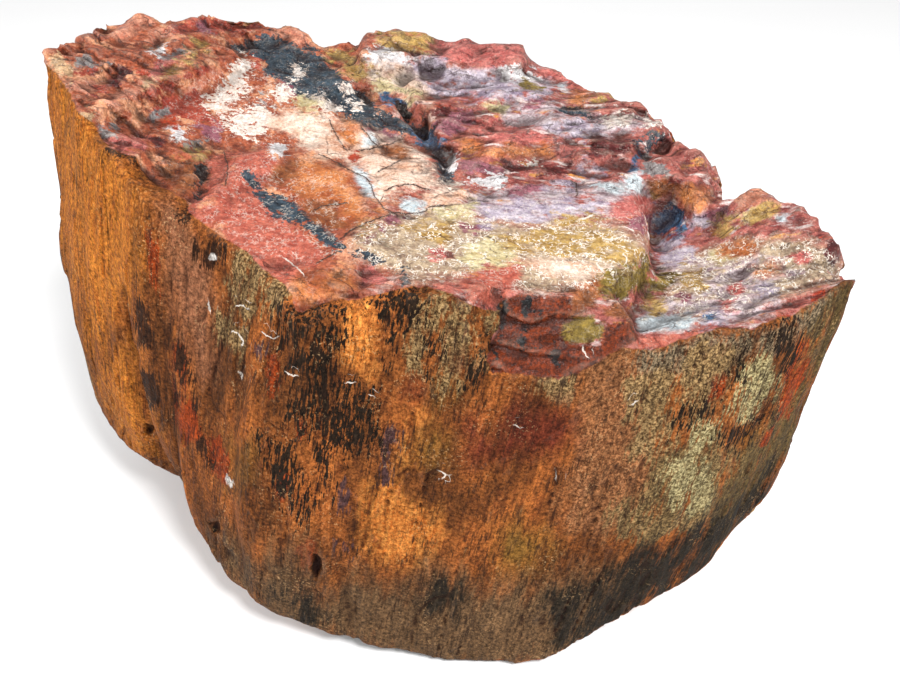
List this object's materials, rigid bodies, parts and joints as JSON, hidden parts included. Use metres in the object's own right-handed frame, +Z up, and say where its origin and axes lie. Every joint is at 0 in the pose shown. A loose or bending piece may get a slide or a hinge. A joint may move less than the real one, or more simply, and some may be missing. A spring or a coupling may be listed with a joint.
{
  "type": "petrified wood",
  "caption": "Broken block of a fossil log with a stepped glassy top face, leaning bark-like sides and a small flat spot to rest on.",
  "frame": {"origin": "centre of the bounding box's bottom, on the plane that the flat spot rests on", "axes": "+X along the block's longest side, towards its low thin corner; +Y from the log's outer side at the front to the flaked back; +Z up, through the broken face"},
  "size_m": [0.273, 0.1725, 0.1791],
  "materials": {
    "petrified_wood": "glossy broken agate face, satin granular sides"
  },
  "bodies": {
    "root": {"petrified_wood": "petrified_wood"}
  },
  "joints": []
}
